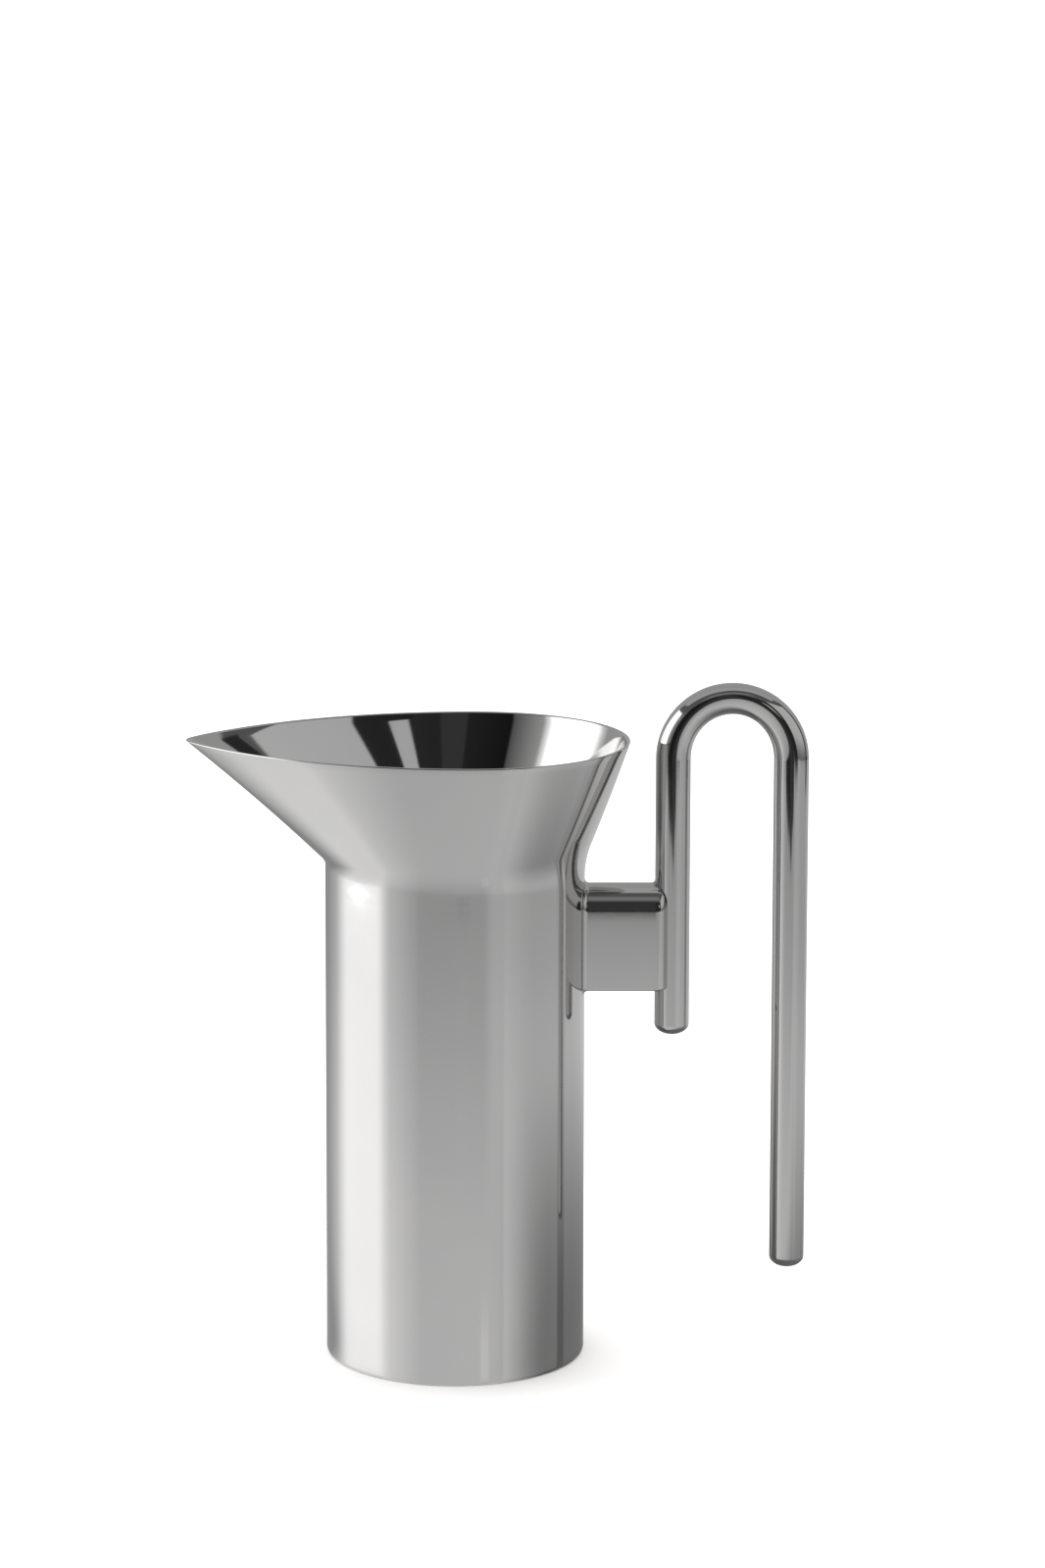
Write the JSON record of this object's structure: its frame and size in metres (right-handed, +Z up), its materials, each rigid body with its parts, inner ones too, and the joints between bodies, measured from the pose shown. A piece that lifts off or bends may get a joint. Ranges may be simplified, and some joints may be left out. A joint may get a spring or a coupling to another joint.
{
  "type": "water pitcher",
  "caption": "Upright cylindrical water pitcher with a flared, pointed pouring mouth and a cane-shaped tube handle held off the body by a short bracket.",
  "frame": {"origin": "centre of the foot ring's flat lower face, on the body's axis, at the level the pitcher stands on", "axes": "+Z up along the body's axis, -X towards the pouring tip, +X towards the handle; the XZ plane is the plane of symmetry"},
  "size_m": [0.2129, 0.1066, 0.234],
  "materials": {
    "body_sheet": "polished silver-coloured sheet",
    "mouth_sheet": "polished silver-coloured sheet",
    "base_sheet": "satin pressed sheet",
    "foot_metal": "polished turned ring",
    "handle_metal": "polished drawn tube",
    "bracket_sheet": "polished folded sheet",
    "inner_plate": "sawn plate, hidden inside the bracket",
    "rivet_metal": "turned rivet, hidden inside the bracket"
  },
  "bodies": {
    "root": {"body_tube": "body_sheet", "mouth_collar": "mouth_sheet", "base_pan": "base_sheet", "foot_ring": "foot_metal", "handle_tube": "handle_metal", "short_leg_cap": "handle_metal", "long_leg_cap": "handle_metal", "bracket_cover": "bracket_sheet", "bracket_floor": "bracket_sheet", "bracket_saddle": "inner_plate", "bracket_cradle": "inner_plate", "upper_rivet": "rivet_metal", "lower_rivet": "rivet_metal"}
  },
  "joints": []
}
